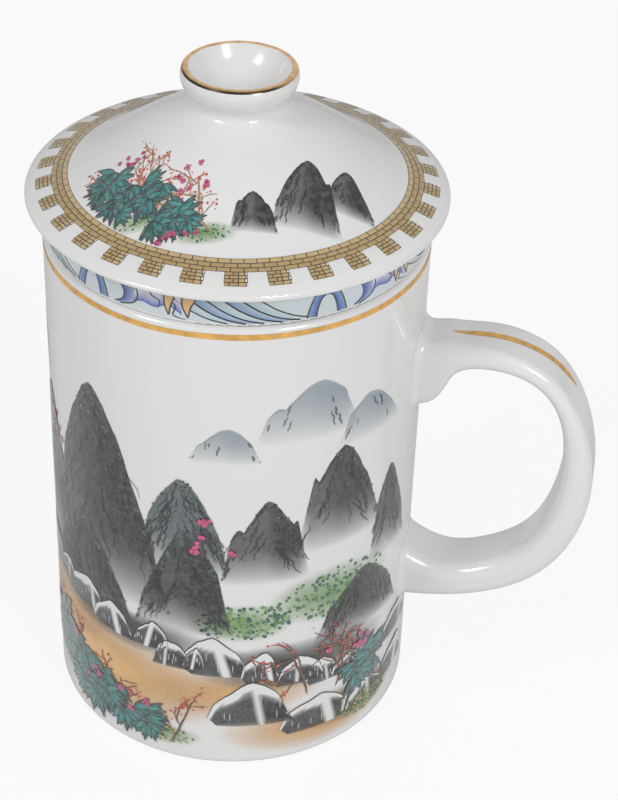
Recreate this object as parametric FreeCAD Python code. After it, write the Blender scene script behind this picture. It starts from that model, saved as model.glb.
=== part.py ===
"""Porcelain tea mug with a drop-in infuser cup and a loose domed lid.

Millimetres, +Z up. The origin is the centre of the foot on the table, and the handle lies along +X.
The mug is a straight cylinder with a foot ring and a luted, ear-shaped handle. The infuser is a second
cup that hangs inside it: its collar rests on the mug's lip and its floor is pierced. The lid rests on
the collar, a locating ring under it keeps it centred, and a hollow knob is luted on its neck.
"""

import FreeCAD, Part
import math
import os

# Mug body
MUG_RADIUS = 38.0
MUG_HEIGHT = 110.7
MUG_WALL = 3.2
MUG_FLOOR = 5.0
LIP_OUTER_ROUND = 1.0
LIP_INNER_ROUND = 0.8
INNER_CORNER = 6.0
BASE_ROUND = 2.0
FOOT_WIDTH = 3.6
FOOT_RECESS = 1.4

# Handle: a rounded bar carried round an ear, from the upper root to the lower root. Each station gives
# an outer point and an inner point, as the distance out from the body's surface and the height.
HANDLE_STATIONS = (
    (-1.6, 91.2, -1.6, 76.0),
    (1.4, 91.6, 1.6, 77.0),
    (3.8, 91.9, 4.4, 79.2),
    (5.8, 92.1, 6.3, 83.2),
    (9.8, 92.1, 9.3, 86.4),
    (16.4, 91.8, 15.9, 87.3),
    (22.8, 89.7, 21.5, 86.0),
    (28.3, 85.6, 26.2, 82.4),
    (32.5, 79.4, 29.0, 77.2),
    (35.6, 71.2, 30.3, 70.2),
    (37.0, 61.4, 30.2, 61.5),
    (35.8, 51.2, 28.7, 53.2),
    (31.5, 41.2, 25.8, 46.2),
    (23.9, 33.6, 20.6, 40.7),
    (14.6, 29.3, 13.0, 36.9),
    (7.2, 27.6, 6.8, 36.4),
    (1.8, 27.0, 1.9, 38.4),
    (-1.6, 26.8, -1.6, 40.4),
)
HANDLE_WIDTH = 13.2
HANDLE_EDGE_ROUND = 3.0
HANDLE_ROUND_SHARE = 0.94
LUTING_FILLET = 2.0

# Infuser cup
COLLAR_RADIUS = 37.2
COLLAR_HEIGHT = 7.6
COLLAR_WALL = 3.9
COLLAR_ROUND = 0.6
BASKET_GAP = 0.9
BASKET_WALL = 2.6
BASKET_DEPTH = 64.0
BASKET_FLOOR = 3.0
BASKET_ROUND = 4.0
STRAINER_HOLE = 2.2
STRAINER_PITCH = 5.2
STRAINER_RINGS = 4

# Lid: its upper face as radius and height above the collar, from the brim to the neck
LID_RADIUS = 41.05
LID_EDGE = 0.65
LID_EDGE_TURN = 70
NECK_RADIUS = 9.6
BRIM_LINE = ((38.9, 2.25), (35.8, 3.3), (32.7, 4.2))
DOME_LINE = ((30.0, 5.7), (25.0, 9.0), (20.0, 12.4), (15.0, 15.3), (11.6, 17.2), (NECK_RADIUS, 18.6))
RING_GAP = 0.8
RING_WALL = 3.0
RING_DEPTH = 5.2
RING_ROUND = 0.8
HOLLOW_EDGE = 2.6
HOLLOW_LINE = ((25.5, 4.6), (20.0, 8.2), (15.0, 11.2), (10.0, 13.6), (5.0, 15.2), (0.0, 15.6))

# Knob: its outer face and its bowl as radius and height above the neck
KNOB_LINE = ((NECK_RADIUS, 0.0), (9.0, 1.4), (9.6, 2.7), (10.7, 4.0), (11.2, 5.6), (11.15, 6.6), (10.8, 7.35))
KNOB_LIP = ((10.2, 7.65), (9.6, 7.4))
KNOB_BOWL = ((9.1, 6.4), (7.0, 3.6), (3.5, 2.0), (0.0, 1.7))

# Places that follow from the sizes, and how far cuts run past a face
MUG_INNER = MUG_RADIUS - MUG_WALL
BASKET_RADIUS = MUG_INNER - BASKET_GAP
BASKET_INNER = BASKET_RADIUS - BASKET_WALL
BASKET_BOTTOM = MUG_HEIGHT - BASKET_DEPTH
COLLAR_TOP = MUG_HEIGHT + COLLAR_HEIGHT
COLLAR_INNER = COLLAR_RADIUS - COLLAR_WALL
RING_RADIUS = COLLAR_INNER - RING_GAP
RING_INNER = RING_RADIUS - RING_WALL
NECK_TOP = COLLAR_TOP + DOME_LINE[-1][1]
HOLE_OVERRUN = 1.0
SURFACE_TOLERANCE = 0.02
AXIS = FreeCAD.Vector(0, 0, 1)
ORIGIN = FreeCAD.Vector(0, 0, 0)


def spot(radius, height):
    """A point of a half section, in the XZ plane."""
    return FreeCAD.Vector(radius, 0, height)


def path(points):
    """Straight edges through the points, in order."""
    return [Part.LineSegment(spot(*a), spot(*b)).toShape() for a, b in zip(points, points[1:])]


def corner(centre, radius, start, end):
    """A circular arc of a half section about a centre, between two angles in degrees."""
    points = []
    for angle in (start, (start + end) / 2, end):
        turn = math.radians(angle)
        points.append(spot(centre[0] + radius * math.cos(turn), centre[1] + radius * math.sin(turn)))
    return Part.Arc(*points).toShape()


def curve(points, base=0.0):
    """A smooth curve through points given as radius and height above a base."""
    spline = Part.BSplineCurve()
    spline.interpolate([spot(r, base + z) for r, z in points])
    return spline.toShape()


def turned(edges):
    """The solid that a closed half section makes when it is turned about the mug's axis."""
    face = Part.Face(Part.Wire(Part.__sortEdges__(edges)))
    return face.revolve(ORIGIN, AXIS, 360)


def make_mug_body():
    foot_outer = MUG_RADIUS - BASE_ROUND
    foot_inner = foot_outer - FOOT_WIDTH
    corner_radius = MUG_INNER - INNER_CORNER
    corner_height = MUG_FLOOR + INNER_CORNER
    outer_lip = (MUG_RADIUS - LIP_OUTER_ROUND, MUG_HEIGHT - LIP_OUTER_ROUND)
    inner_lip = (MUG_INNER + LIP_INNER_ROUND, MUG_HEIGHT - LIP_INNER_ROUND)
    edges = path([
        (corner_radius, MUG_FLOOR),
        (0, MUG_FLOOR),
        (0, FOOT_RECESS),
        (foot_inner - FOOT_RECESS, FOOT_RECESS),
        (foot_inner, 0),
        (foot_outer, 0),
    ])
    edges.append(corner((foot_outer, BASE_ROUND), BASE_ROUND, -90, 0))
    edges += path([(MUG_RADIUS, BASE_ROUND), (MUG_RADIUS, outer_lip[1])])
    edges.append(corner(outer_lip, LIP_OUTER_ROUND, 0, 90))
    edges += path([(outer_lip[0], MUG_HEIGHT), (inner_lip[0], MUG_HEIGHT)])
    edges.append(corner(inner_lip, LIP_INNER_ROUND, 90, 180))
    edges += path([(MUG_INNER, inner_lip[1]), (MUG_INNER, corner_height)])
    edges.append(corner((corner_radius, corner_height), INNER_CORNER, 0, -90))
    return turned(edges)


def handle_section(outer_out, outer_z, inner_out, inner_z):
    """A rounded rectangle between an outer and an inner point of the handle's outline."""
    outer, inner = spot(MUG_RADIUS + outer_out, outer_z), spot(MUG_RADIUS + inner_out, inner_z)
    centre = (outer + inner) * 0.5
    half = (outer - inner).Length / 2
    out = (outer - inner).normalize()
    side = FreeCAD.Vector(0, 1, 0)
    edge_round = min(HANDLE_EDGE_ROUND, HANDLE_ROUND_SHARE * half)
    bend = edge_round * (1 - math.sqrt(0.5))
    edges = []
    for s, t in ((1, 1), (1, -1), (-1, -1), (-1, 1)):
        level = centre + side * (s * (HANDLE_WIDTH / 2 - edge_round)) + out * (t * half)
        middle = centre + side * (s * (HANDLE_WIDTH / 2 - bend)) + out * (t * (half - bend))
        upright = centre + side * (s * HANDLE_WIDTH / 2) + out * (t * (half - edge_round))
        ends = (level, middle, upright) if s * t > 0 else (upright, middle, level)
        edges.append(Part.Arc(*ends).toShape())
    ring = []
    for this, following in zip(edges, edges[1:] + edges[:1]):
        ring.append(this)
        ring.append(Part.LineSegment(this.Vertexes[-1].Point, following.Vertexes[0].Point).toShape())
    return Part.Wire(ring)


def lies_on_body(edge):
    """Whether an edge runs on the body's round side, where the handle meets it."""
    span = edge.LastParameter - edge.FirstParameter
    points = [edge.valueAt(edge.FirstParameter + span * share) for share in (0, 0.25, 0.5, 0.75, 1)]
    near = all(abs(math.hypot(p.x, p.y) - MUG_RADIUS) < SURFACE_TOLERANCE for p in points)
    return near and all(p.x > 0 and BASE_ROUND < p.z < MUG_HEIGHT - LIP_OUTER_ROUND for p in points)


def make_mug_handle():
    """The handle with a fillet of slip round each root, trimmed to the body's surface."""
    drum = Part.makeCylinder(MUG_RADIUS, MUG_HEIGHT)
    ear = Part.makeLoft([handle_section(*station) for station in HANDLE_STATIONS], True, False)
    luted = drum.fuse(ear).removeSplitter()
    luted = luted.makeFillet(LUTING_FILLET, [edge for edge in luted.Edges if lies_on_body(edge)])
    return luted.cut(drum)


def make_infuser_cup():
    foot = BASKET_RADIUS - BASKET_ROUND
    inner_corner = BASKET_ROUND - BASKET_WALL / 2
    well = BASKET_INNER - inner_corner
    floor_top = BASKET_BOTTOM + BASKET_FLOOR
    ledge = COLLAR_INNER - BASKET_INNER
    edges = path([
        (well, floor_top),
        (0, floor_top),
        (0, BASKET_BOTTOM),
        (foot, BASKET_BOTTOM),
    ])
    edges.append(corner((foot, BASKET_BOTTOM + BASKET_ROUND), BASKET_ROUND, -90, 0))
    edges += path([
        (BASKET_RADIUS, BASKET_BOTTOM + BASKET_ROUND),
        (BASKET_RADIUS, MUG_HEIGHT),
        (COLLAR_RADIUS - COLLAR_ROUND, MUG_HEIGHT),
    ])
    edges.append(corner((COLLAR_RADIUS - COLLAR_ROUND, MUG_HEIGHT + COLLAR_ROUND), COLLAR_ROUND, -90, 0))
    edges += path([(COLLAR_RADIUS, MUG_HEIGHT + COLLAR_ROUND), (COLLAR_RADIUS, COLLAR_TOP - COLLAR_ROUND)])
    edges.append(corner((COLLAR_RADIUS - COLLAR_ROUND, COLLAR_TOP - COLLAR_ROUND), COLLAR_ROUND, 0, 90))
    edges += path([
        (COLLAR_RADIUS - COLLAR_ROUND, COLLAR_TOP),
        (COLLAR_INNER + COLLAR_ROUND, COLLAR_TOP),
        (COLLAR_INNER, COLLAR_TOP - COLLAR_ROUND),
        (COLLAR_INNER, MUG_HEIGHT),
        (BASKET_INNER, MUG_HEIGHT - ledge),
        (BASKET_INNER, floor_top + inner_corner),
    ])
    edges.append(corner((well, floor_top + inner_corner), inner_corner, 0, -90))
    cup = turned(edges)
    holes = []
    for ring in range(STRAINER_RINGS + 1):
        count = max(1, 6 * ring)
        for i in range(count):
            turn = 2 * math.pi * (i + 0.5 * (ring % 2)) / count
            place = FreeCAD.Vector(
                STRAINER_PITCH * ring * math.cos(turn),
                STRAINER_PITCH * ring * math.sin(turn),
                BASKET_BOTTOM - HOLE_OVERRUN,
            )
            holes.append(Part.makeCylinder(STRAINER_HOLE / 2, BASKET_FLOOR + 2 * HOLE_OVERRUN, place))
    return cup.cut(holes)


def make_lid_shell():
    edge_centre = (LID_RADIUS - LID_EDGE, COLLAR_TOP + LID_EDGE)
    rim_top = (
        edge_centre[0] + LID_EDGE * math.cos(math.radians(LID_EDGE_TURN)),
        edge_centre[1] + LID_EDGE * math.sin(math.radians(LID_EDGE_TURN)) - COLLAR_TOP,
    )
    ring_bottom = COLLAR_TOP - RING_DEPTH
    edges = [corner(edge_centre, LID_EDGE, -90, LID_EDGE_TURN)]
    edges.append(curve((rim_top,) + BRIM_LINE + DOME_LINE, COLLAR_TOP))
    edges += path([(NECK_RADIUS, NECK_TOP), (0, NECK_TOP), (0, COLLAR_TOP + HOLLOW_LINE[-1][1])])
    edges.append(curve(((RING_INNER, HOLLOW_EDGE),) + HOLLOW_LINE, COLLAR_TOP))
    edges += path([
        (RING_INNER, COLLAR_TOP + HOLLOW_EDGE),
        (RING_INNER, ring_bottom + RING_ROUND),
        (RING_INNER + RING_ROUND, ring_bottom),
        (RING_RADIUS - RING_ROUND, ring_bottom),
        (RING_RADIUS, ring_bottom + RING_ROUND),
        (RING_RADIUS, COLLAR_TOP),
        (edge_centre[0], COLLAR_TOP),
    ])
    return turned(edges)


def make_lid_knob():
    edges = [curve(KNOB_LINE, NECK_TOP)]
    edges.append(Part.Arc(
        spot(KNOB_LINE[-1][0], NECK_TOP + KNOB_LINE[-1][1]),
        spot(KNOB_LIP[0][0], NECK_TOP + KNOB_LIP[0][1]),
        spot(KNOB_LIP[1][0], NECK_TOP + KNOB_LIP[1][1]),
    ).toShape())
    edges.append(curve((KNOB_LIP[1],) + KNOB_BOWL, NECK_TOP))
    edges += path([(0, NECK_TOP + KNOB_BOWL[-1][1]), (0, NECK_TOP), (KNOB_LINE[0][0], NECK_TOP)])
    return turned(edges)


os.makedirs("parts", exist_ok=True)
PIECES = {
    "mug_body": make_mug_body(),
    "mug_handle": make_mug_handle(),
    "infuser_cup": make_infuser_cup(),
    "lid_shell": make_lid_shell(),
    "lid_knob": make_lid_knob(),
}
for name, piece in PIECES.items():
    piece.exportStep("parts/" + name + ".step")
    box = piece.BoundBox
    size = "%.1f x %.1f x %.1f mm, %.1f to %.1f high" % (
        box.XLength, box.YLength, box.ZLength, box.ZMin, box.ZMax)
    print(name, piece.isValid(), len(piece.Solids), size, "volume %.1f cm3" % (piece.Volume / 1000))
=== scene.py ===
"""Looks of a porcelain tea mug with an infuser cup and a lid: glaze, gilding and painted decoration.

Metres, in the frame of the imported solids: +Z up, the mug's axis at the origin, the handle along +X.
Painted motifs are thin meshes that lie on the glaze. Each is drawn in millimetres on a flat chart, and a
chart function wraps it round the mug, the collar, the lid, the handle or the knob.
"""

import math
import random

import bpy
from mathutils import Matrix, Vector
from mathutils.bvhtree import BVHTree


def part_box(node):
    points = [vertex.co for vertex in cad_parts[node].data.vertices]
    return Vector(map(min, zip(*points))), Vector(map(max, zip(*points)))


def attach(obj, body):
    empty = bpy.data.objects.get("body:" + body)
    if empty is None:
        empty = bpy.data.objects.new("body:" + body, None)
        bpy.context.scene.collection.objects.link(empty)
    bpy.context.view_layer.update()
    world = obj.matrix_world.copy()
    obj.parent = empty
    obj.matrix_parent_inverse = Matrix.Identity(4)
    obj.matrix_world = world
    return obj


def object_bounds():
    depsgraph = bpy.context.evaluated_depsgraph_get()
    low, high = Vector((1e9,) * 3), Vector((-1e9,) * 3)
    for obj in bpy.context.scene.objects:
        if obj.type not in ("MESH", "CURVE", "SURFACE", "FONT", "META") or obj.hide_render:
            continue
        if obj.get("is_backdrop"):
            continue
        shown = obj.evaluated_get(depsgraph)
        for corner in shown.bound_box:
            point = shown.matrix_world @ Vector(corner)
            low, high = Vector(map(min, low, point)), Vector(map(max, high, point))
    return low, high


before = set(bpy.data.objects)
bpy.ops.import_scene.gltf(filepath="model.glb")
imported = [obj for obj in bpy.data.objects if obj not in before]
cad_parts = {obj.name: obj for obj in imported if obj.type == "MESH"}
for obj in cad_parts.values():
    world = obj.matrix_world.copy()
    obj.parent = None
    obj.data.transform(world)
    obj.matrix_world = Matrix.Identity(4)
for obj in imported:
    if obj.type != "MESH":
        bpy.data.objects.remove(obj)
CAD_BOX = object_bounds()

MM = 0.001
# How far the paint stands off the glaze, and how far each coat stands off the one below, in millimetres
SKIN = 0.05
LIP_SKIN = 0.04
LAYER = 0.012
OUTLINE = 0.3

# Camera, in millimetres and degrees, and the lens in pixels of the long side
CAMERA_DISTANCE = 346.55
CAMERA_HEIGHT = 315.85
CAMERA_YAW = 2.52
CAMERA_PITCH = 35.517
CAMERA_ROLL = 2.219
HANDLE_TURN = 12.0
FOCAL_PIXELS = 2050.16
LONG_SIDE_PIXELS = 800
SENSOR = 36.0

# Sizes of the painted surfaces, in millimetres
MUG_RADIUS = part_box("mug_body")[1].x / MM
COLLAR_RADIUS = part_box("infuser_cup")[1].x / MM
KNOB_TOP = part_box("lid_knob")[1].z / MM
BASE_EDGE = 2.4
BAND_LOW = 108.4
BAND_HIGH = 109.6
RING_INNER = 32.7
RING_OUTER = 35.8
MERLON_OUTER = 38.9
MERLONS = 30
MERLON_START = 0.2
MERLON_FACE = 0.33
MERLON_SIDE = 0.21
MERLON_OVERLAP = 0.1
MERLON_COURSES = 4
BRICK_COURSES = 3
BRICKS_ROUND = 90
JOINT = 0.19
WAVE_LOW = 111.5
WAVE_HIGH = 118.0
WAVE_REPEATS = 5
WAVE_THREADS = 6
WAVE_UNITS = 46
DROP_SHIFT = 0.09
WAVE_THREAD = ((-8, 1.0), (-4.6, 0.74), (-1.4, 0.4), (2.2, 0.14), (6, 0.0))
WAVE_ARCH = ((20.5, 0.0), (21.2, 0.4), (22.6, 0.82), (24.5, 0.98), (26.4, 0.82), (27.8, 0.4), (28.5, 0.0))
WAVE_ARCH_INSIDE = ((22.3, 0.0), (22.7, 0.32), (23.4, 0.58), (24.5, 0.68), (25.6, 0.58), (26.3, 0.32),
                    (26.7, 0.0))
WAVE_CREST = ((29.0, 1.0), (30.8, 0.8), (32.2, 0.5), (32.0, 0.2), (30.2, 0.02))
WAVE_BACK = ((32.6, 1.0), (34.2, 0.82), (35.2, 0.5), (34.4, 0.18), (31.4, 0.0))
WAVE_SWELL = ((34.6, 0.62), (36.6, 0.78), (38.8, 0.74), (41.0, 0.86), (43.4, 0.7))
WAVE_TROUGH = ((34.2, 0.2), (36.2, 0.3), (38.6, 0.22), (41.2, 0.36), (43.8, 0.14))
WAVE_CURLS = (((35.4, 1.0), (37.4, 0.86), (38.0, 0.6), (39.6, 0.46), (39.2, 0.2)),
              ((41.2, 1.0), (41.0, 0.7), (42.6, 0.4), (42.2, 0.1), (44.6, 0.0)))
WAVE_DROPS = ((37.2, 0.8), (40.8, 1.0))
HANDLE_MIDDLE_X = 52.0
HANDLE_MIDDLE_Z = 61.0
STRIPE_START = 105.0
STRIPE_END = 50.0
STRIPE_WIDTH = 1.6
KNOB_LIP = ((9.64, 0.22), (9.85, 0.06), (10.2, 0.0), (10.55, 0.08), (10.8, 0.3), (10.93, 0.52))

# Glaze and gold: gloss, the sizes of their faint unevenness, and how far it goes
GLAZE_ROUGHNESS = 0.22
GLAZE_IOR = 1.5
COAT_WEIGHT = 0.9
COAT_ROUGHNESS = 0.065
MOTTLE_SCALE = 70
MOTTLE_TINT = (0.975, 1.015)
RIPPLE_SCALE = 95
RIPPLE_STRENGTH = 0.05
RIPPLE_HEIGHT = 0.0006
GRAIN_SCALE = 900
GRAIN_FROM = (0.42, 0.68)
PAINT_GRAIN = 0.1
BORDER_GRAIN = 0.06
STREAK_SCALE = 520
STREAK_FROM = (0.3, 0.7)
STREAK_TINT = (0.72, 1.12)

# The studio, in metres and watts
SURROUND_STRENGTH = 0.5
FLOOR_HALF = 3.0
FLOOR_WHITE = 0.78
FLOOR_ROUGHNESS = 0.9
FLOOR_GLOW = 0.88
LAMP_AIM = (0, 0, 0.08)
LAMP_TALL = 0.3
LAMPS = (("left", (-0.55, -0.62, 0.78), 0.22, 3.0), ("right", (0.62, -0.6, 0.62), 0.2, 3.5))

PORCELAIN = (0.77, 0.77, 0.765)
INK = (0.035, 0.035, 0.038)
SLATE = (0.16, 0.18, 0.20)
TEAL = (0.006, 0.24, 0.21)
DEEP_TEAL = (0.004, 0.10, 0.095)
MOSS = (0.16, 0.34, 0.07)
PINK = (0.50, 0.035, 0.15)
ROSE = (0.62, 0.13, 0.28)
RED = (0.50, 0.05, 0.02)
OCHRE = (0.62, 0.36, 0.13)
SAND = (0.74, 0.55, 0.33)
BARK = (0.12, 0.06, 0.03)
COBALT = (0.025, 0.07, 0.40)
SKY = (0.17, 0.31, 0.50)
ICE = (0.40, 0.53, 0.60)
CHARCOAL = (0.017, 0.0165, 0.0175)
SLATE_BLUE = (0.30, 0.37, 0.42)
LEAF = (0.05, 0.16, 0.06)
CORAL = (0.72, 0.14, 0.07)
BRANCH = (0.36, 0.21, 0.12)
OCHRE_WASH = (0.80, 0.46, 0.17)
BRICK = (0.38, 0.25, 0.07)
PALE_BRICK = (0.50, 0.36, 0.15)
WHITE_BRICK = (0.74, 0.70, 0.60)
JOINT_INK = (0.035, 0.025, 0.018)
DROP = (0.68, 0.43, 0.18)
BAND_GOLD = (0.84, 0.47, 0.13)
STRIPE_EDGE = (0.70, 0.40, 0.14)
# The knob's gilded lip: the turn in degrees, towards the camera, where the painted dark reflection on its
# outer lower edge is darkest, then its gold, then the colour of that painted reflection
LIP_REFLECTION_MIDDLE = -98
LIP_GOLD = (1.0, 0.67, 0.34)
LIP_PAINTED_REFLECTION = (0.05, 0.035, 0.02)


def mix(a, b, share):
    return tuple(x + (y - x) * share for x, y in zip(a, b))


def cover(colour):
    """How well a colour covers the glaze: its fourth number, or fully without one."""
    return colour[3] if len(colour) > 3 else 1.0


def thinned(colour, share):
    """A colour laid on so thin that it covers only a share of the glaze."""
    return (*colour[:3], max(0.0, min(1.0, share)))


def new_material(name):
    material = bpy.data.materials.new(name)
    material.use_nodes = True
    return material, material.node_tree.nodes, material.node_tree.links


def glaze_surface(nodes, links, colour_socket=None):
    """Glossy fired glaze: a clear coat with a faint ripple over a body that is mottled very slightly."""
    shader = nodes["Principled BSDF"]
    shader.inputs["Roughness"].default_value = GLAZE_ROUGHNESS
    shader.inputs["IOR"].default_value = GLAZE_IOR
    shader.inputs["Coat Weight"].default_value = COAT_WEIGHT
    shader.inputs["Coat Roughness"].default_value = COAT_ROUGHNESS
    shader.inputs["Coat IOR"].default_value = GLAZE_IOR
    place = nodes.new("ShaderNodeTexCoord")
    mottle = nodes.new("ShaderNodeTexNoise")
    mottle.inputs["Scale"].default_value = MOTTLE_SCALE
    mottle.inputs["Detail"].default_value = 4
    shade = nodes.new("ShaderNodeMapRange")
    shade.inputs["To Min"].default_value, shade.inputs["To Max"].default_value = MOTTLE_TINT
    tint = nodes.new("ShaderNodeVectorMath")
    tint.operation = "SCALE"
    tint.inputs[0].default_value = PORCELAIN
    links.new(place.outputs["Object"], mottle.inputs["Vector"])
    links.new(mottle.outputs["Fac"], shade.inputs["Value"])
    links.new(shade.outputs["Result"], tint.inputs["Scale"])
    if colour_socket is not None:
        links.new(colour_socket, tint.inputs[0])
    links.new(tint.outputs["Vector"], shader.inputs["Base Color"])
    ripple = nodes.new("ShaderNodeTexNoise")
    ripple.inputs["Scale"].default_value = RIPPLE_SCALE
    ripple.inputs["Detail"].default_value = 1
    bump = nodes.new("ShaderNodeBump")
    bump.inputs["Strength"].default_value = RIPPLE_STRENGTH
    bump.inputs["Distance"].default_value = RIPPLE_HEIGHT
    links.new(place.outputs["Object"], ripple.inputs["Vector"])
    links.new(ripple.outputs["Fac"], bump.inputs["Height"])
    links.new(bump.outputs["Normal"], shader.inputs["Normal"])
    links.new(bump.outputs["Normal"], shader.inputs["Coat Normal"])
    return shader


def porcelain_material(name):
    material, nodes, links = new_material(name)
    glaze_surface(nodes, links)
    return material


def paint_material(name, grain):
    """Glaze colour from the motif's own colours, with the uneven density of brushed and printed colour."""
    material, nodes, links = new_material(name)
    paint = nodes.new("ShaderNodeVertexColor")
    paint.layer_name = "paint"
    place = nodes.new("ShaderNodeTexCoord")
    speckle = nodes.new("ShaderNodeTexNoise")
    speckle.inputs["Scale"].default_value = GRAIN_SCALE
    speckle.inputs["Detail"].default_value = 5
    speckle.inputs["Roughness"].default_value = 0.65
    density = nodes.new("ShaderNodeMapRange")
    density.inputs["From Min"].default_value, density.inputs["From Max"].default_value = GRAIN_FROM
    density.inputs["To Min"].default_value = 0.0
    density.inputs["To Max"].default_value = grain
    thin = nodes.new("ShaderNodeMix")
    thin.data_type = "RGBA"
    thin.inputs["B"].default_value = (*PORCELAIN, 1)
    links.new(place.outputs["Object"], speckle.inputs["Vector"])
    links.new(speckle.outputs["Fac"], density.inputs["Value"])
    links.new(density.outputs["Result"], thin.inputs["Factor"])
    links.new(paint.outputs["Color"], thin.inputs["A"])
    shader = glaze_surface(nodes, links, thin.outputs["Result"])
    links.new(paint.outputs["Alpha"], shader.inputs["Alpha"])
    return material


def gold_material(name, metal, low, high):
    """Gold lustre brushed on by hand: the motif's own colours, streaked. low and high bound its roughness."""
    material, nodes, links = new_material(name)
    shader = nodes["Principled BSDF"]
    shader.inputs["Metallic"].default_value = metal
    paint = nodes.new("ShaderNodeVertexColor")
    paint.layer_name = "paint"
    place = nodes.new("ShaderNodeTexCoord")
    streak = nodes.new("ShaderNodeTexNoise")
    streak.inputs["Scale"].default_value = STREAK_SCALE
    streak.inputs["Detail"].default_value = 4
    uneven = nodes.new("ShaderNodeMapRange")
    uneven.inputs["From Min"].default_value, uneven.inputs["From Max"].default_value = STREAK_FROM
    uneven.inputs["To Min"].default_value, uneven.inputs["To Max"].default_value = STREAK_TINT
    tint = nodes.new("ShaderNodeVectorMath")
    tint.operation = "SCALE"
    rough = nodes.new("ShaderNodeMapRange")
    rough.inputs["To Min"].default_value = low
    rough.inputs["To Max"].default_value = high
    links.new(place.outputs["Object"], streak.inputs["Vector"])
    links.new(streak.outputs["Fac"], uneven.inputs["Value"])
    links.new(streak.outputs["Fac"], rough.inputs["Value"])
    links.new(paint.outputs["Color"], tint.inputs[0])
    links.new(uneven.outputs["Result"], tint.inputs["Scale"])
    links.new(tint.outputs["Vector"], shader.inputs["Base Color"])
    links.new(rough.outputs["Result"], shader.inputs["Roughness"])
    return material


def assign(node, material):
    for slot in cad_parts[node].material_slots:
        slot.material = material


def surface_of(*nodes):
    """A tree for finding points on solids, in the row frame."""
    verts, faces = [], []
    for node in nodes:
        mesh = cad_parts[node].data
        start = len(verts)
        verts += [v.co.copy() for v in mesh.vertices]
        faces += [[start + i for i in p.vertices] for p in mesh.polygons]
    return BVHTree.FromPolygons(verts, faces)


LID_SURFACE = surface_of("lid_shell")
HANDLE_SURFACE = surface_of("mug_handle")


def mug_chart(across, height, lift):
    """across runs round the mug from the middle of the front, positive towards the handle."""
    height = max(height, BASE_EDGE)
    turn = math.radians(-90) + across / MUG_RADIUS
    radius = MUG_RADIUS + lift
    return Vector((radius * math.cos(turn), radius * math.sin(turn), height)) * MM


def collar_chart(across, height, lift):
    turn = math.radians(-90) + across / COLLAR_RADIUS
    radius = COLLAR_RADIUS + lift
    return Vector((radius * math.cos(turn), radius * math.sin(turn), height)) * MM


def lid_chart(x, y, lift):
    """A point of the lid's upper face, straight below a point of the plan."""
    top = Vector((x * MM, y * MM, 0.2))
    hit = LID_SURFACE.ray_cast(top, Vector((0, 0, -1)))[0]
    return Vector((x * MM, y * MM, hit.z + lift * MM))


def lid_polar_chart(turn, radius, lift):
    return lid_chart(radius * math.cos(turn), radius * math.sin(turn), lift)


def lid_picture_chart(across, away, lift):
    """A picture on the dome, as seen from above: across runs to the right and away from the viewer."""
    side, ahead = math.cos(math.radians(HANDLE_TURN)), math.sin(math.radians(HANDLE_TURN))
    shrink = min(1.0, (RING_INNER - 0.2) / math.hypot(across, away))
    x, y = across * shrink, away * shrink
    return lid_chart(x * side - y * ahead, x * ahead + y * side, lift)


def handle_chart(turn, across, lift):
    """A point on the outside of the handle, by its direction from the middle of the finger opening."""
    out = Vector((math.cos(turn), 0, math.sin(turn)))
    start = Vector((HANDLE_MIDDLE_X, across, HANDLE_MIDDLE_Z)) * MM + out * 0.06
    hit = HANDLE_SURFACE.ray_cast(start, -out)[0]
    return hit + out * lift * MM


def knob_chart(turn, along, lift):
    """A point round the knob's lip: along runs from inside the bowl over the lip and down outside."""
    last = len(KNOB_LIP) - 1
    i = min(int(along * last), last - 1)
    share = along * last - i
    radius = KNOB_LIP[i][0] + (KNOB_LIP[i + 1][0] - KNOB_LIP[i][0]) * share
    drop = KNOB_LIP[i][1] + (KNOB_LIP[i + 1][1] - KNOB_LIP[i][1]) * share
    swell = 1 + lift / radius
    height = KNOB_TOP - drop + lift
    return Vector((radius * swell * math.cos(turn), radius * swell * math.sin(turn), height)) * MM


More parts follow.
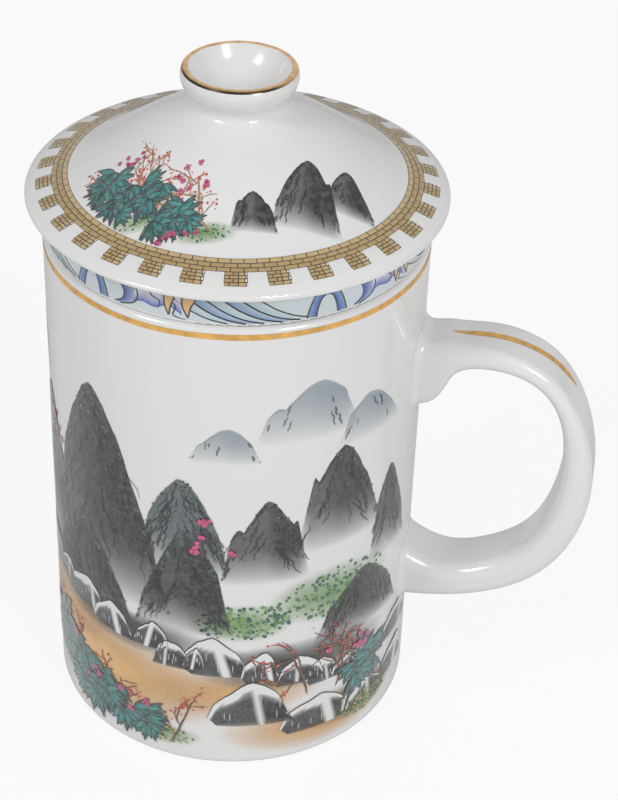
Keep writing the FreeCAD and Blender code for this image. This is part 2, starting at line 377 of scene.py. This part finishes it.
class Motif:
    """Coloured faces gathered on one chart, then made into one mesh."""

    def __init__(self, chart):
        self.chart = chart
        self.points = []
        self.faces = []
        self.colours = []

    def add(self, points, faces, colours, lift):
        start = len(self.points)
        self.points += [self.chart(u, v, lift) for u, v in points]
        self.faces += [[start + i for i in face] for face in faces]
        self.colours += colours if isinstance(colours, list) else [colours] * len(points)

    def grid(self, columns, rows, place, colour, lift):
        """A patch of columns by rows cells. place and colour take shares from 0 to 1."""
        points, colours, faces = [], [], []
        for j in range(rows + 1):
            for i in range(columns + 1):
                points.append(place(i / columns, j / rows))
                colours.append(colour(i / columns, j / rows))
        for j in range(rows):
            for i in range(columns):
                a = j * (columns + 1) + i
                face = [a, a + 1, a + columns + 2, a + columns + 1]
                if max(cover(colours[k]) for k in face) > 0.01:
                    faces.append(face)
        self.add(points, faces, colours, lift)

    def stroke(self, points, width, colour, lift, taper=True):
        """A brush stroke along points, thin at its ends when it tapers."""
        left, right = [], []
        last = len(points) - 1
        for i, (x, y) in enumerate(points):
            before, after = points[max(i - 1, 0)], points[min(i + 1, last)]
            dx, dy = after[0] - before[0], after[1] - before[1]
            length = math.hypot(dx, dy) or 1
            share = math.sin(math.pi * (i + 0.35) / (last + 0.7)) ** 0.5 if taper else 1
            half = width / 2 * share
            left.append((x - dy / length * half, y + dx / length * half))
            right.append((x + dy / length * half, y - dx / length * half))
        faces = [[i, i + 1, last + 2 + i, last + 1 + i] for i in range(last)]
        self.add(left + right, faces, colour, lift)

    def blob(self, x, y, radius, colour, lift, edge=None, lobes=0, depth=0.0, turn=0.0, sides=14):
        """A disc or a lobed rosette, with its own edge colour when one is given."""
        points, colours = [(x, y)], [colour]
        for i in range(sides):
            a = 2 * math.pi * i / sides + turn
            r = radius * (1 + depth * math.cos(lobes * (a - turn)))
            points.append((x + r * math.cos(a), y + r * math.sin(a)))
            colours.append(edge or colour)
        faces = [[0, 1 + i, 1 + (i + 1) % sides] for i in range(sides)]
        self.add(points, faces, colours, lift)

    def leaf(self, x, y, length, width, turn, colour, lift, vein=None):
        """A pointed leaf from its stalk end, split along its middle."""
        steps = 5
        ux, uy = math.cos(turn), math.sin(turn)
        rows = []
        for side in (-1, 0, 1):
            row = []
            for i in range(steps + 1):
                t = i / steps
                half = side * width / 2 * math.sin(math.pi * t ** 0.75)
                row.append((x + ux * t * length - uy * half, y + uy * t * length + ux * half))
            rows.append(row)
        points = rows[0] + rows[1] + rows[2]
        n = steps + 1
        faces = []
        for i in range(steps):
            faces.append([i, i + 1, n + i + 1, n + i])
            faces.append([n + i, n + i + 1, 2 * n + i + 1, 2 * n + i])
        colours = [colour] * n + [vein or colour] * n + [mix(colour, DEEP_TEAL, 0.35)] * n
        self.add(points, faces, colours, lift)
        for row in (rows[0], rows[2], [rows[1][0], rows[1][-1]]):
            self.stroke(row, length * 0.035, INK, lift + LAYER / 4, taper=False)

    def make(self, name, material, body):
        mesh = bpy.data.meshes.new(name)
        mesh.from_pydata(self.points, [], self.faces)
        paint = mesh.color_attributes.new("paint", "FLOAT_COLOR", "POINT")
        for item, colour in zip(paint.data, self.colours):
            item.color = (*colour[:3], cover(colour))
        mesh.materials.append(material)
        mesh.polygons.foreach_set("use_smooth", [True] * len(mesh.polygons))
        mesh.update()
        piece = bpy.data.objects.new(name, mesh)
        bpy.context.scene.collection.objects.link(piece)
        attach(piece, body)


def ragged(rng, cells, rough, levels=6):
    """A rough line of heights from -1 to 1 by halving steps, for ridges and cloud edges."""
    heights = [rng.uniform(-1, 1) for _ in range(3)]
    scale = 1.0
    for _ in range(levels):
        scale *= rough
        finer = []
        for a, b in zip(heights, heights[1:]):
            finer += [a, (a + b) / 2 + rng.uniform(-1, 1) * scale]
        heights = finer + [heights[-1]]
    return [heights[round(i * (len(heights) - 1) / cells)] for i in range(cells + 1)]


def hill(motif, rng, centre, base, width, height, dark, lift, humps=3, mist=0.45, body=0.88, strokes=40,
         trees=24):
    """An ink hill: humps under a rough crest, brushed flanks and trees. Its foot is lost in mist."""
    columns, rows = 96, 24
    crest = ragged(rng, columns, 0.58)
    clouds = ragged(rng, columns, 0.7)
    main = rng.uniform(0.4, 0.6)
    summits = [(main, 1.0, 0.5)]
    for k in range(1, humps):
        side = 1 if k % 2 else -1
        middle = main + side * rng.uniform(0.17, 0.31)
        summits.append((middle, rng.uniform(0.45, 0.78), rng.uniform(0.2, 0.3)))

    def ridge(s):
        top = 0.0
        for middle, tall, half in summits:
            top = max(top, tall * (1 - min(1.0, abs(s - middle) / half) ** 1.6))
        rough = 0.07 * crest[round(s * columns)]
        return height * max(0.02, (top + rough) * min(1, 6 * s, 6 * (1 - s)))

    def place(s, t):
        return centre + (s - 0.5) * width, base + ridge(s) * t

    def colour(s, t):
        side = min(1, 7 * s, 7 * (1 - s))
        fade = min(1.0, ridge(s) * t / height / mist) ** 0.8
        shaded = 0.74 + 0.26 * min(1.0, max(0.0, 0.5 + 5 * (s - main) + 0.35 * clouds[round(s * columns)]))
        return thinned(dark, side * fade * (1.0 if t > 0.95 else body * shaded))

    motif.grid(columns, rows, place, colour, lift)
    for _ in range(strokes):
        s = rng.uniform(0.08, 0.92)
        top = ridge(s)
        slope = ridge(min(1, s + 0.03)) - ridge(max(0, s - 0.03))
        start = rng.uniform(0.4, 0.98) * top
        length = rng.uniform(0.12, 0.36) * top
        lean = -math.copysign(rng.uniform(0.1, 0.55), slope) * length
        x = centre + (s - 0.5) * width
        line = [(x + lean * k / 5 + 0.06 * length * math.sin(2.1 * k + s * 40), base + start - length * k / 5)
                for k in range(6)]
        motif.stroke(line, rng.uniform(0.2, 0.6), thinned(INK, 0.5), lift + LAYER / 2)
    for _ in range(trees):
        s = rng.uniform(0.15, 0.85)
        motif.blob(centre + (s - 0.5) * width, base + ridge(s) * rng.uniform(0.86, 1.0) + 0.1,
                   rng.uniform(0.18, 0.42), rng.choice((INK, LEAF)), lift + LAYER / 2, sides=6)


def wash(motif, rng, centre, base, width, height, colour, lift, strength=1.0):
    """A soft patch of thin colour that fades out all round."""
    columns, rows = 48, 16
    edge = ragged(rng, columns, 0.6)

    def place(s, t):
        sag = height * 0.12 * edge[round(s * columns)]
        return centre + (s - 0.5) * width, base + height * (t - 0.5) + sag * (1 - abs(2 * t - 1))

    def shade(s, t):
        r = math.hypot(2 * s - 1, 2 * t - 1)
        soft = max(0.0, 1 - r) ** 0.8
        uneven = 0.75 + 0.25 * edge[round(s * columns)]
        return thinned(colour, strength * soft * uneven * 1.5)

    motif.grid(columns, rows, place, shade, lift)


def twig(motif, rng, x, y, turn, length, width, colour, lift, depth=3, tips=None):
    """A branching twig. Its tips are gathered for buds and blossoms."""
    points = [(x, y)]
    heading = turn
    steps = 7
    for _ in range(steps):
        heading += rng.uniform(-0.32, 0.32)
        x += math.cos(heading) * length / steps
        y += math.sin(heading) * length / steps
        points.append((x, y))
    motif.stroke(points, width, colour, lift)
    if tips is not None:
        tips += points[3:]
    if depth > 1:
        for k in range(3):
            px, py = points[2 + 2 * k]
            side = rng.choice((-1, 1))
            twig(motif, rng, px, py, heading + side * rng.uniform(0.35, 1.0), length * 0.62,
                 width * 0.7, colour, lift, depth - 1, tips)


def camera():
    """The photograph's view, solved from the mug's outlines, turned with the handle to +X."""
    yaw, pitch, roll = (math.radians(a) for a in (CAMERA_YAW, CAMERA_PITCH, CAMERA_ROLL))
    forward = Vector((math.sin(yaw) * math.cos(pitch), math.cos(yaw) * math.cos(pitch), -math.sin(pitch)))
    level = Vector((math.cos(yaw), -math.sin(yaw), 0))
    upright = level.cross(forward)
    right = math.cos(roll) * level + math.sin(roll) * upright
    up = math.cos(roll) * upright - math.sin(roll) * level
    place = Matrix((right, up, -forward)).transposed().to_4x4()
    place.translation = Vector((0, -CAMERA_DISTANCE, CAMERA_HEIGHT)) * MM
    data = bpy.data.cameras.new("camera")
    data.sensor_width = SENSOR
    data.lens = FOCAL_PIXELS * SENSOR / LONG_SIDE_PIXELS
    view = bpy.data.objects.new("camera", data)
    bpy.context.scene.collection.objects.link(view)
    view.matrix_world = Matrix.Rotation(math.radians(HANDLE_TURN), 4, "Z") @ place
    bpy.context.scene.camera = view


def area_light(name, place, width, power):
    data = bpy.data.lights.new(name, "AREA")
    data.energy = power
    data.shape = "RECTANGLE"
    data.size = width
    data.size_y = LAMP_TALL
    lamp = bpy.data.objects.new(name, data)
    lamp.location = place
    lamp.rotation_euler = (Vector(LAMP_AIM) - Vector(place)).to_track_quat("-Z", "Y").to_euler()
    bpy.context.scene.collection.objects.link(lamp)


def studio():
    """White floor and surround, with a window-like lamp at each side of the camera."""
    world = bpy.data.worlds.new("surround")
    bpy.context.scene.world = world
    world.use_nodes = True
    nodes, links = world.node_tree.nodes, world.node_tree.links
    lit = nodes["Background"]
    lit.inputs["Color"].default_value = (1, 1, 1, 1)
    lit.inputs["Strength"].default_value = SURROUND_STRENGTH
    seen = nodes.new("ShaderNodeBackground")
    seen.inputs["Color"].default_value = (1, 1, 1, 1)
    seen.inputs["Strength"].default_value = 1.0
    path = nodes.new("ShaderNodeLightPath")
    choose = nodes.new("ShaderNodeMixShader")
    links.new(path.outputs["Is Camera Ray"], choose.inputs["Fac"])
    links.new(lit.outputs["Background"], choose.inputs[1])
    links.new(seen.outputs["Background"], choose.inputs[2])
    links.new(choose.outputs["Shader"], nodes["World Output"].inputs["Surface"])

    mesh = bpy.data.meshes.new("floor")
    half = FLOOR_HALF
    corners = [(-half, -half, 0), (half, -half, 0), (half, half, 0), (-half, half, 0)]
    mesh.from_pydata(corners, [], [[0, 1, 2, 3]])
    floor = bpy.data.objects.new("floor", mesh)
    bpy.context.scene.collection.objects.link(floor)
    material, nodes, links = new_material("floor_white")
    shader = nodes["Principled BSDF"]
    shader.inputs["Base Color"].default_value = (FLOOR_WHITE, FLOOR_WHITE, FLOOR_WHITE, 1)
    shader.inputs["Roughness"].default_value = FLOOR_ROUGHNESS
    glow = nodes.new("ShaderNodeEmission")
    glow.inputs["Strength"].default_value = 1.0
    path = nodes.new("ShaderNodeLightPath")
    share = nodes.new("ShaderNodeMath")
    share.operation = "MULTIPLY"
    share.inputs[1].default_value = FLOOR_GLOW
    choose = nodes.new("ShaderNodeMixShader")
    links.new(path.outputs["Is Camera Ray"], share.inputs[0])
    links.new(share.outputs["Value"], choose.inputs["Fac"])
    links.new(shader.outputs["BSDF"], choose.inputs[1])
    links.new(glow.outputs["Emission"], choose.inputs[2])
    links.new(choose.outputs["Shader"], nodes["Material Output"].inputs["Surface"])
    mesh.materials.append(material)
    floor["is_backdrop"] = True
    for name, place, width, power in LAMPS:
        area_light(name, place, width, power)


def smooth_line(points, steps=8):
    """A smooth run of points through a few chosen ones."""
    ends = [points[0]] + list(points) + [points[-1]]
    line = []
    for a, b, c, d in zip(ends, ends[1:], ends[2:], ends[3:]):
        for k in range(steps):
            t = k / steps
            line.append(tuple(
                0.5 * (2 * q + (r - p) * t + (2 * p - 5 * q + 4 * r - s) * t ** 2
                       + (3 * q - p - 3 * r + s) * t ** 3)
                for p, q, r, s in zip(a, b, c, d)))
    return line + [points[-1]]


def ribbon(motif, left, right, colour_left, colour_right, lift, cells=5):
    """A filled shape between two lines of as many points, shaded from one to the other."""
    last = len(left) - 1

    def place(s, t):
        i = round(t * last)
        return tuple(a + (b - a) * s for a, b in zip(left[i], right[i]))
    motif.grid(cells, last, place, lambda s, t: mix(colour_left, colour_right, s ** 1.3), lift)


def outlined(motif, left, right, colour_left, colour_right, lift):
    ribbon(motif, left, right, colour_left, colour_right, lift)
    motif.stroke(left, OUTLINE, INK, lift + LAYER, taper=False)
    motif.stroke(right, OUTLINE, INK, lift + LAYER, taper=False)


def gilding():
    """The gold band below the mug's lip, the stripe on the handle and the knob's gilded lip, with a painted
    dark reflection along the front of the knob's lip.
    """
    flat_gold = gold_material("gold_brushed", metal=0.35, low=0.3, high=0.5)
    bright_gold = gold_material("gold_burnished", metal=0.65, low=0.18, high=0.36)
    around = 2 * math.pi * MUG_RADIUS

    def band_place(s, t):
        turn = 2 * math.pi * s
        waver = 0.06 * math.sin(3 * turn) + 0.035 * math.sin(11 * turn + 1)
        waver += 0.03 * (2 * t - 1) * math.sin(7 * turn)
        return around * s, BAND_LOW + (BAND_HIGH - BAND_LOW) * t + waver
    band = Motif(mug_chart)
    band.grid(300, 3, band_place, lambda s, t: BAND_GOLD, SKIN)
    band.make("mug_gold_band", flat_gold, "mug")

    def stripe_place(s, t):
        turn = math.radians(STRIPE_START + (STRIPE_END - STRIPE_START) * s)
        half = STRIPE_WIDTH / 2 * min(1, (6 * s) ** 0.6, (5 * (1 - s)) ** 0.5 + 0.12)
        bow = 0.3 * math.sin(3 * s) + 2.0 * s ** 2.5
        return turn, bow + half * (2 * t - 1)
    stripe = Motif(handle_chart)
    stripe.grid(90, 4, stripe_place, lambda s, t: mix(BAND_GOLD, STRIPE_EDGE, abs(2 * t - 1) ** 3), SKIN)
    stripe.make("handle_gold_stripe", flat_gold, "mug")

    # Painted dark reflection: the outer half of the knob's lip turns dark on the side that faces the camera.
    def lip_colour_with_reflection(s, t):
        facing_camera = max(0.0, math.cos(2 * math.pi * s - math.radians(LIP_REFLECTION_MIDDLE)))
        return mix(LIP_GOLD, LIP_PAINTED_REFLECTION, min(1.0, max(0.0, t - 0.5) * 4) * min(1.0, 1.7 * facing_camera))
    lip = Motif(knob_chart)
    lip.grid(180, 12, lambda s, t: (2 * math.pi * s, t), lip_colour_with_reflection, LIP_SKIN)
    lip.make("knob_gold_lip", bright_gold, "lid")


def brick(ring, rng, turn, radius, width, depth, colour, lift):
    """One brick of the ring: its tone varied a little at random and lighter towards its outer side, between
    dark joints.
    """
    tone = mix(colour, SAND, rng.uniform(0, 0.14))
    gap = JOINT / radius

    def place(s, t):
        return turn + gap / 2 + (width - gap) * s, radius + JOINT / 2 + (depth - JOINT) * t
    ring.grid(3, 1, place, lambda s, t: mix(tone, SAND, 0.25 * t), lift)


def brick_ring(paint):
    """A ring of small bricks with battlements outside, a common border, on the lid's brim."""
    rng = random.Random(11)
    ring = Motif(lid_polar_chart)
    depth = (RING_OUTER - RING_INNER) / BRICK_COURSES
    width = 2 * math.pi / BRICKS_ROUND
    ring.grid(360, 3, lambda s, t: (2 * math.pi * s, RING_INNER + (RING_OUTER - RING_INNER) * t),
              lambda s, t: JOINT_INK, SKIN)
    for course in range(BRICK_COURSES):
        colour = PALE_BRICK if course == 0 else BRICK
        for k in range(BRICKS_ROUND):
            brick(ring, rng, width * (k + 0.5 * (course % 2)), RING_INNER + depth * course,
                  width, depth, colour, SKIN + LAYER)
    pitch = 2 * math.pi / MERLONS
    face, side = pitch * MERLON_FACE, pitch * MERLON_SIDE
    inner = RING_OUTER - MERLON_OVERLAP
    depth = (MERLON_OUTER - RING_OUTER) / MERLON_COURSES
    for k in range(MERLONS):
        start = k * pitch + MERLON_START * pitch

        def block(s, t):
            chamfer = 0.22 * max(0.0, t - 0.75) * 4 * pitch * 0.1
            return start + chamfer + (face + side - 2 * chamfer) * s, inner + (MERLON_OUTER - inner) * t
        ring.grid(8, 4, block, lambda s, t: JOINT_INK, SKIN)
        for course in range(MERLON_COURSES):
            radius = RING_OUTER + depth * course
            split = 0.38 if course % 2 else 0.64
            shaded = side * (1 - 0.5 * split)
            brick(ring, rng, start, radius, face * split, depth, BRICK, SKIN + LAYER)
            brick(ring, rng, start + face * split, radius, face * (1 - split), depth, BRICK, SKIN + LAYER)
            brick(ring, rng, start + face, radius, shaded, depth, PALE_BRICK, SKIN + LAYER)
            brick(ring, rng, start + face + shaded, radius, side - shaded, depth, WHITE_BRICK, SKIN + LAYER)
    ring.make("lid_brick_ring", paint, "lid")


def wave_band(paint):
    """A traditional band of waves on the collar: flowing stripes, arches, a crest and a pair of drops."""
    band = Motif(collar_chart)
    around = 2 * math.pi * COLLAR_RADIUS
    reach = around / WAVE_REPEATS
    span = WAVE_HIGH - WAVE_LOW
    # A pale blue ground under the whole band: part of the pattern, and also painted shade standing in for the
    # lid's brim shading the collar.
    ground_and_shade = mix(ICE, PORCELAIN, 0.5)

    def run(x, points):
        """A smooth line. Its points are in units along one repeat, and in shares of the band's height."""
        return smooth_line([(x + u * reach / WAVE_UNITS, WAVE_LOW + v * span) for u, v in points])

    band.grid(240, 1, lambda s, t: (around * s, WAVE_LOW + span * t), lambda s, t: ground_and_shade, SKIN - LAYER)
    for k in range(WAVE_REPEATS):
        x = k * reach
        lines = []
        for i in range(WAVE_THREADS):
            foot = 3.3 * i
            lines.append(run(x, [(foot + u, v) for u, v in WAVE_THREAD]))
        for i, (a, b) in enumerate(zip(lines, lines[1:])):
            tone = SKY if i % 2 else ICE
            outlined(band, a, b, tone, mix(tone, PORCELAIN, 0.45), SKIN)
        outlined(band, run(x, WAVE_ARCH), run(x, WAVE_ARCH_INSIDE), SKY, COBALT, SKIN + 2 * LAYER)
        outlined(band, run(x, WAVE_CREST), run(x, WAVE_BACK), COBALT, ICE, SKIN + LAYER)
        ribbon(band, run(x, WAVE_SWELL), run(x, WAVE_TROUGH), PORCELAIN, COBALT, SKIN + LAYER, cells=8)
        for curl in WAVE_CURLS:
            band.stroke(run(x, curl), OUTLINE, INK, SKIN + 3 * LAYER)
        for shift, size in WAVE_DROPS:
            left = [(shift, 0.08), (shift - size, 0.42), (shift - 0.9 * size, 0.8), (shift + 0.3, 0.97)]
            right = [(shift, 0.08), (shift + 0.5 * size, 0.42), (shift + 1.3 * size, 0.7),
                     (shift + 0.3, 0.97)]
            place = x + reach * DROP_SHIFT
            outlined(band, run(place, left), run(place, right), DROP, DROP, SKIN + 4 * LAYER)
    band.make("collar_wave_band", paint, "infuser")


def blossom(motif, rng, x, y, size, colour, lift):
    motif.blob(x, y, size, mix(colour, RED, 0.3), lift, edge=colour, lobes=5, depth=0.22,
               turn=rng.uniform(0, 6), sides=20)


def blossoms(motif, rng, x, y, wide, tall, count, size, lift):
    """Round pink petals in small groups with dark hearts, spread over a box."""
    for _ in range(count):
        px, py = x + rng.uniform(-wide, wide) / 2, y + rng.uniform(-tall, tall) / 2
        for _ in range(3):
            motif.blob(px + rng.uniform(-1, 1) * size, py + rng.uniform(-1, 1) * size,
                       size * rng.uniform(0.8, 1.2), ROSE, lift, edge=PINK, sides=12)
        motif.blob(px, py, size * 0.3, INK, lift + LAYER / 2, sides=7)


def leaf_fan(motif, rng, x, y, size, turn, lift):
    """A fan of pointed teal leaves, darker behind, as on a broad-leaved shrub."""
    for layer, tone, count in ((0, DEEP_TEAL, 6), (1, TEAL, 5)):
        for k in range(count):
            angle = turn + (k - (count - 1) / 2) * 0.5 + rng.uniform(-0.1, 0.1)
            length = size * rng.uniform(0.85, 1.05) * (1 - 0.14 * layer)
            colour = mix(tone, SKY, rng.uniform(0, 0.1))
            motif.leaf(x, y, length, size * 0.26, angle, colour, lift + layer * LAYER / 2,
                       vein=mix(tone, ICE, 0.12))


def shrub(motif, rng, x, y, wide, tall, fans, size, lift):
    """Fans of leaves spread over an ellipse, the lower ones in front."""
    spots = []
    for k in range(fans):
        r, a = ((k + 0.5) / fans) ** 0.55, 2.4 * k + rng.uniform(-0.4, 0.4)
        spots.append((y + tall / 2 * r * math.sin(a), x + wide / 2 * r * math.cos(a)))
    for k, (py, px) in enumerate(sorted(spots, reverse=True)):
        grown = size * rng.uniform(0.8, 1.15)
        turn = math.radians(-90) + rng.uniform(-1.2, 1.2)
        leaf_fan(motif, rng, px, py, grown, turn, lift + 6 * LAYER * k / fans)


def dots(motif, rng, x, y, wide, tall, count, size, colours, lift):
    for _ in range(count):
        r, a = rng.random() ** 0.6, rng.uniform(0, 2 * math.pi)
        motif.blob(x + wide / 2 * r * math.cos(a), y + tall / 2 * r * math.sin(a),
                   size * rng.uniform(0.5, 1.2), rng.choice(colours), lift, sides=7)


def blossom_branch(motif, rng, x, y, turn, length, colours, lift, size, bark, buds):
    """A twig with buds along its upper reaches."""
    tips = []
    twig(motif, rng, x, y, turn, length, length * 0.048, bark, lift, tips=tips)
    for _ in range(buds):
        px, py = rng.choice(tips)
        blossom(motif, rng, px + rng.gauss(0, 0.55), py + rng.gauss(0, 0.55), size * rng.uniform(0.5, 1.1),
                rng.choice(colours), lift + LAYER)


def boulder(motif, rng, x, y, wide, tall, lift):
    """A rock: bare bright top and edge, dark flanks that soften at the foot, and an ink outline."""
    cells = 14
    rough = ragged(rng, cells, 0.6)
    cap = ragged(rng, cells, 0.6)
    peak = rng.uniform(0.25, 0.75)
    lean = rng.uniform(-0.3, 0.3)

    def place(s, t):
        rise = min(1.0, max(0.0, min(s / peak, (1 - s) / (1 - peak)))) ** 0.42
        top = tall * (0.2 + 0.8 * rise) * (1 + 0.13 * rough[round(s * cells)])
        return x + (s - 0.5) * wide + lean * t * tall, y + top * t

    def colour(s, t):
        bare = 0.78 + 0.13 * cap[round(s * cells)]
        if t > bare or abs(s - peak) < 0.045:
            return PORCELAIN
        tone = mix(CHARCOAL, PORCELAIN, 0.42 * max(0.0, 1 - (bare - t) * 7))
        return thinned(mix(tone, SLATE, 0.2 * (s < peak)), 0.98 * min(1.0, 0.45 + 3 * t))
    motif.grid(cells, cells, place, colour, lift)
    motif.stroke([place(i / cells, 1.0) for i in range(cells + 1)], 0.32, INK, lift + LAYER / 2)
    for _ in range(5):
        s, t = rng.uniform(0.1, 0.9), rng.uniform(0.35, 0.75)
        motif.stroke([place(s + 0.05 * k * lean, t - 0.08 * k) for k in range(4)], 0.22,
                     thinned(PORCELAIN, 0.6), lift + LAYER / 2)


def ledge(motif, rng, route, size, lift):
    """A bank of rocks of unlike sizes along a line, with gaps."""
    line = smooth_line(route, 6)
    x = line[0][0]
    for a, b in zip(line, line[1:]):
        while x < b[0]:
            share = (x - a[0]) / max(0.01, b[0] - a[0])
            wide = size * rng.choice((0.55, 0.75, 1.0, 1.35, 1.8))
            tall = size * rng.uniform(0.8, 1.25) * (0.7 + 0.3 * wide / size)
            drop = size * rng.uniform(0.3, 0.75)
            boulder(motif, rng, x + wide / 2, a[1] + (b[1] - a[1]) * share - drop, wide * 1.15, tall,
                    lift + rng.randint(0, 2) * LAYER / 3)
            x += wide * rng.uniform(0.72, 1.05)


def mug_landscape(paint):
    """A crag on the left, a misty valley on the right, and two banks of rock that fall to the right."""
    rng = random.Random(5)
    far = Motif(mug_chart)
    for centre, base, wide, tall, humps in ((22, 84, 24, 13, 3), (38, 80, 20, 10, 2), (6, 80, 16, 8, 3),
                                            (-50, 82, 18, 11, 2), (92, 78, 26, 14, 3),
                                            (120, 80, 24, 11, 3), (165, 82, 26, 12, 2)):
        hill(far, rng, centre, base, wide, tall, SLATE_BLUE, SKIN, humps,
             mist=0.95, body=0.8, strokes=8, trees=0)
    for centre, base, wide, tall, humps in ((32, 56, 24, 26, 3), (14, 50, 20, 20, 3), (46, 46, 16, 22, 2),
                                            (84, 56, 26, 30, 3), (108, 54, 28, 24, 4),
                                            (140, 58, 30, 30, 3), (172, 52, 28, 26, 3)):
        hill(far, rng, centre, base, wide, tall, CHARCOAL, SKIN + LAYER, humps)
    for centre, base, wide, tall in ((30, 44, 30, 14), (10, 40, 22, 10), (98, 48, 40, 12), (150, 50, 40, 12)):
        wash(far, rng, centre, base, wide, tall, MOSS, SKIN + 2 * LAYER, 0.7)
        dots(far, rng, centre, base, wide * 0.9, tall * 0.9, 190, 0.4,
             (MOSS, LEAF, DEEP_TEAL), SKIN + 3 * LAYER)
    far.make("mug_far_hills", paint, "mug")

    crag = Motif(mug_chart)
    haze = mix(CHARCOAL, SLATE_BLUE, 0.3)
    for centre, base, wide, tall, humps, tone in (
            (-2, 52, 22, 24, 3, haze), (-42, 50, 22, 30, 3, haze), (-21, 40, 38, 48, 5, CHARCOAL),
            (-3, 36, 24, 26, 3, CHARCOAL), (-38, 38, 24, 30, 4, CHARCOAL), (-26, 32, 32, 24, 4, CHARCOAL),
            (38, 30, 28, 17, 3, CHARCOAL), (124, 34, 48, 34, 4, CHARCOAL)):
        hill(crag, rng, centre, base, wide, tall, tone, SKIN + 4 * LAYER, humps, mist=0.4, body=0.97,
             strokes=90, trees=46)
    crag.make("mug_crags", paint, "mug")

    bank = Motif(mug_chart)
    for centre, base, wide, tall, strength in ((-24, 20, 70, 24, 1.0), (-38, 30, 36, 18, 0.9),
                                               (28, 9, 46, 13, 0.8), (8, 20, 40, 12, 0.6),
                                               (110, 18, 80, 20, 0.8), (165, 20, 50, 16, 0.7)):
        wash(bank, rng, centre, base, wide, tall, OCHRE_WASH, SKIN + 6 * LAYER, strength)
    for centre, base, wide, tall, strength in ((22, 27, 46, 13, 0.7), (-16, 33, 44, 10, 0.7),
                                               (-40, 38, 26, 12, 0.7), (36, 11, 34, 11, 0.6),
                                               (112, 34, 60, 12, 0.5), (158, 32, 50, 12, 0.5)):
        wash(bank, rng, centre, base, wide, tall, CHARCOAL, SKIN + 6.5 * LAYER, strength)
    ledge(bank, rng, ((-55, 39), (-36, 37), (-16, 33), (8, 27), (32, 24), (53, 23)), 6.5, SKIN + 7 * LAYER)
    ledge(bank, rng, ((6, 17), (22, 13), (38, 12), (54, 14)), 8.0, SKIN + 8 * LAYER)
    ledge(bank, rng, ((74, 40), (100, 34), (130, 38), (160, 34), (184, 38)), 8.5, SKIN + 8 * LAYER)
    bank.make("mug_rocky_bank", paint, "mug")

    near = Motif(mug_chart)
    top = SKIN + 11 * LAYER
    for centre, base, wide, tall in ((-30, 11, 30, 11), (-8, 7, 20, 6), (40, 8, 18, 7), (118, 15, 34, 10)):
        wash(near, rng, centre, base, wide, tall, MOSS, top - LAYER, 0.45)
        dots(near, rng, centre, base, wide * 0.8, tall * 0.8, 120, 0.3, (MOSS, LEAF, OCHRE), top)
    for x, y, turn, length in ((-34, 6, 1.3, 13), (-26, 5, 0.9, 12), (-20, 5, 2.2, 11), (-41, 9, 1.8, 12),
                               (-12, 5, 1.5, 12), (-5, 5, 1.0, 10), (24, 18, 1.7, 13), (31, 17, 1.2, 12),
                               (38, 18, 2.0, 12), (104, 10, 1.2, 14), (126, 10, 1.9, 13)):
        blossom_branch(near, rng, x, y, turn, length, (RED, CORAL), top + LAYER,
                       size=0.27, bark=BARK, buds=42)
    for x, y, wide, tall, fans in ((-25, 14, 15, 12, 14), (-39, 20, 12, 13, 11), (-12, 10, 9, 5, 5),
                                   (40, 21, 10, 9, 8), (116, 18, 20, 12, 14)):
        shrub(near, rng, x, y, wide, tall, fans, 6.0, top + 3 * LAYER)
    for x, y, wide, tall, count in ((-20, 13, 20, 8, 9), (-36, 24, 14, 9, 7), (34, 27, 14, 7, 8),
                                    (4, 62, 8, 10, 8), (-40, 70, 8, 8, 8), (110, 22, 26, 14, 12)):
        blossoms(near, rng, x, y, wide, tall, count, 0.55, top + 10 * LAYER)
    near.make("mug_blossom_and_leaves", paint, "mug")


def lid_landscape(paint):
    """A picture before the knob: shrubs and twigs on the left, three ink hills right of the middle."""
    rng = random.Random(8)
    hills = Motif(lid_picture_chart)
    for centre, base, wide, tall, humps in ((21, -21, 11, 9, 2), (12, -26.5, 15, 14, 3), (3, -28, 10, 7, 3)):
        hill(hills, rng, centre, base, wide, tall, CHARCOAL, SKIN, humps, mist=0.35, trees=0)
    hills.make("lid_hills", paint, "lid")

    spray = Motif(lid_picture_chart)
    for centre, base, wide, tall in ((-17, -23, 15, 5), (-6, -28, 12, 4)):
        wash(spray, rng, centre, base, wide, tall, MOSS, SKIN, 0.6)
        dots(spray, rng, centre, base, wide * 0.8, tall * 0.7, 60, 0.2, (MOSS, LEAF, DEEP_TEAL), SKIN + LAYER)
    top = SKIN + 2 * LAYER
    for x, y, turn, length in ((-5, -28, 2.2, 8), (-11, -26, 1.7, 10), (-20, -21, 1.1, 9), (-15, -24, 2.1, 9),
                               (-25, -17, 1.6, 6), (-8, -27, 1.2, 9)):
        blossom_branch(spray, rng, x, y, turn, length, (RED, CORAL), top, size=0.22, bark=BRANCH, buds=60)
    for x, y, wide, tall, fans in ((-19, -18, 11, 6, 9), (-12, -24, 9, 4, 7), (-24, -12, 6, 4, 4)):
        shrub(spray, rng, x, y, wide, tall, fans, 4.2, top + 2 * LAYER)
    for x, y, wide, tall, count in ((-20, -10, 6, 3, 8), (-8, -18, 6, 5, 8), (-12, -28, 12, 1.5, 7)):
        blossoms(spray, rng, x, y, wide, tall, count, 0.34, top + 9 * LAYER)
    spray.make("lid_blossom_and_leaves", paint, "lid")


def main():
    bpy.context.scene.view_settings.view_transform = "Standard"
    camera()
    studio()
    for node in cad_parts:
        assign(node, porcelain_material(node + "_porcelain"))
    paint = paint_material("painted_colour", PAINT_GRAIN)
    border = paint_material("printed_border", BORDER_GRAIN)
    gilding()
    brick_ring(border)
    wave_band(border)
    mug_landscape(paint)
    lid_landscape(paint)


main()
corners = [[list(corner) for corner in box] for box in (CAD_BOX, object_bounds())]
